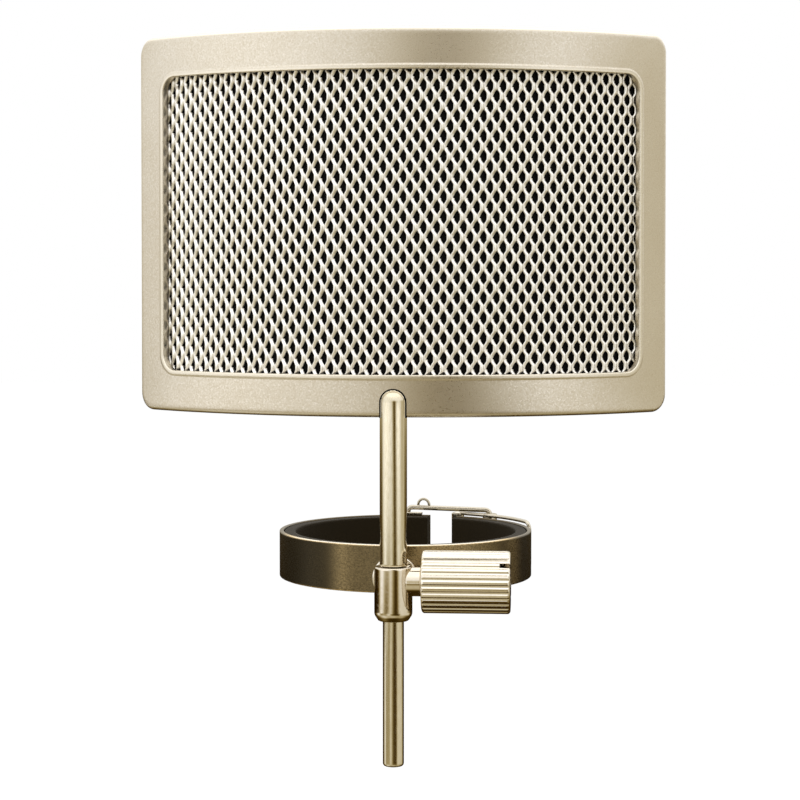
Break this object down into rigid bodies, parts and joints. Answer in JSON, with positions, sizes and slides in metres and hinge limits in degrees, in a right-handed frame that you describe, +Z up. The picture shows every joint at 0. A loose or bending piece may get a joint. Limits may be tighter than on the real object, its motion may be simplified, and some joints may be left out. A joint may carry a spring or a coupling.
{
  "type": "clip-on microphone pop screen",
  "caption": "Curved framed metal mesh screen on a height-adjustable rod, with a thumb screw and a rubber-lined latching spring ring that clamps round a microphone body.",
  "frame": {"origin": "centre of the ring clamp's bore at mid height", "axes": "+Z up along the microphone body, -Y to the front where the screen stands, +X to the thumb knob"},
  "size_m": [0.117, 0.0736, 0.1564],
  "materials": {
    "frame_metal": "bead-blasted satin champagne nickel plate on steel sheet",
    "mesh_metal": "satin champagne nickel plate on expanded steel",
    "bright_metal": "polished nickel plate with a warm cast",
    "band_metal": "satin bronze-toned nickel plate on spring steel",
    "liner_rubber": "matte moulded black rubber",
    "filter_cloth": "fine black woven filter cloth"
  },
  "bodies": {
    "ring": {"ring_band": "band_metal", "rubber_liner": "liner_rubber", "keeper_hook": "bright_metal", "keeper_rivets": "bright_metal", "lever_bracket": "bright_metal", "bracket_rivets": "bright_metal", "lever_pin": "bright_metal", "saddle_washer": "bright_metal", "collar_rivet": "bright_metal", "collar": "bright_metal"},
    "lever": {"latch_lever": "bright_metal"},
    "bail": {"wire_bail": "bright_metal"},
    "clamp_screw": {"clamp_stud": "bright_metal"},
    "knob": {"thumb_knob": "bright_metal"},
    "lower_rod": {"rod_lower": "bright_metal"},
    "screen": {"rod_upper": "bright_metal", "rod_rivet": "bright_metal", "front_frame": "frame_metal", "front_mesh": "mesh_metal", "filter_sheet": "filter_cloth", "rear_mesh": "mesh_metal", "rear_frame": "frame_metal"}
  },
  "joints": [
    {"name": "lever_open", "type": "hinge", "parent": "ring", "child": "lever", "pos_m": [0.0106, 0.02855, 0], "axis": [0, 0, 1], "range_deg": [0, 90]},
    {"name": "bail_swing", "type": "hinge", "parent": "lever", "child": "bail", "pos_m": [0.01841, 0.0245, 0], "axis": [0, 0, 1], "range_deg": [-56, 0]},
    {"name": "stud_travel", "type": "slide", "parent": "ring", "child": "clamp_screw", "axis": [1, 0, 0], "range_m": [0, 0.00145]},
    {"name": "knob_turn", "type": "hinge", "parent": "clamp_screw", "child": "knob", "pos_m": [0.0155, -0.0353, -0.0016], "axis": [1, 0, 0], "range_deg": [0, 720]},
    {"name": "rod_height", "type": "slide", "parent": "ring", "child": "lower_rod", "axis": [0, 0, 1], "range_m": [0, 0.03]},
    {"name": "screen_turn", "type": "hinge", "parent": "lower_rod", "child": "screen", "pos_m": [0, -0.0353, 0.02], "axis": [0, 0, 1], "continuous": true}
  ],
  "couplings": [
    {"joint": "bail_swing", "follows": "lever_open", "ratio": -0.61},
    {"joint": "stud_travel", "follows": "knob_turn", "m_per_rad": 0.0001114}
  ]
}
